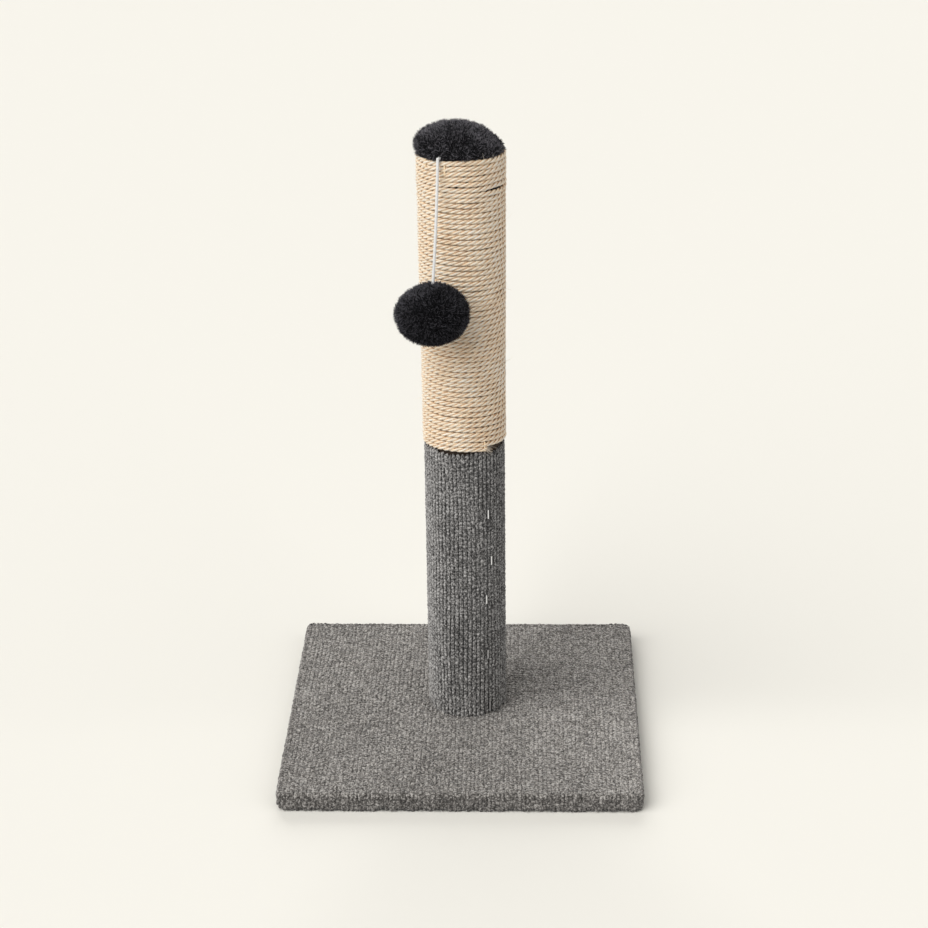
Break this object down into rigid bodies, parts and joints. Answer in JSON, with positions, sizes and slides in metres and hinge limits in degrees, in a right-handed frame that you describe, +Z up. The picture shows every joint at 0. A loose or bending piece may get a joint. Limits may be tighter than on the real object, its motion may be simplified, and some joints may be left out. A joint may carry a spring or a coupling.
{
  "type": "cat scratching post",
  "caption": "Free-standing cat scratching post: carpeted square base, round post with ribbed carpet below and wound sisal above, padded plush top, plush ball on a string.",
  "frame": {"origin": "centre of the square base's footprint, on the plane that the turned-under carpet rests on", "axes": "+Z up the post; -Y is the front, where the ball hangs; +X to the right seen from the front"},
  "size_m": [0.3, 0.3, 0.5315],
  "materials": {
    "board": "raw fibreboard",
    "base_carpet": "fine loop pile",
    "sleeve_carpet": "ribbed loop pile",
    "sisal": "laid natural fibre rope",
    "plush": "short curly plush",
    "string": "smooth braid",
    "wadding": "soft filling",
    "tube_card": "spiral wound",
    "plug_wood": "raw wood",
    "steel": "zinc plated"
  },
  "bodies": {
    "stand": {"base_board": "board", "base_carpet": "base_carpet", "hem_staples": "steel", "mounting_bolt": "steel", "bolt_washer": "steel", "tee_nut": "steel", "bottom_plug": "plug_wood", "top_plug": "plug_wood", "plug_staples": "steel", "post_tube": "tube_card", "carpet_sleeve": "sleeve_carpet", "seam_staples": "steel", "sisal_rope": "sisal", "sisal_lower_turns": "sisal", "rope_staples": "steel", "top_padding": "wadding", "plush_cap": "plush", "string_tail": "string", "string_staple": "steel"},
    "swivel": {"string_root": "string"},
    "string_run": {"string": "string", "string_knot": "string"},
    "ball": {"ball_core": "wadding", "ball_cover": "plush"}
  },
  "joints": [
    {"name": "string_side_swing", "type": "hinge", "parent": "stand", "child": "swivel", "pos_m": [-0.01379, -0.02417, 0.5119], "axis": [-0.4462, -0.8949, 0], "range_deg": [-83.5, 76.5]},
    {"name": "string_out_swing", "type": "hinge", "parent": "swivel", "child": "string_run", "pos_m": [-0.01379, -0.02417, 0.5119], "axis": [-0.8933, 0.4454, -0.061], "range_deg": [0, 75]},
    {"name": "ball_spin", "type": "hinge", "parent": "string_run", "child": "ball", "pos_m": [-0.01379, -0.02417, 0.5119], "axis": [-0.0459, -0.2254, -0.9732], "continuous": true}
  ]
}
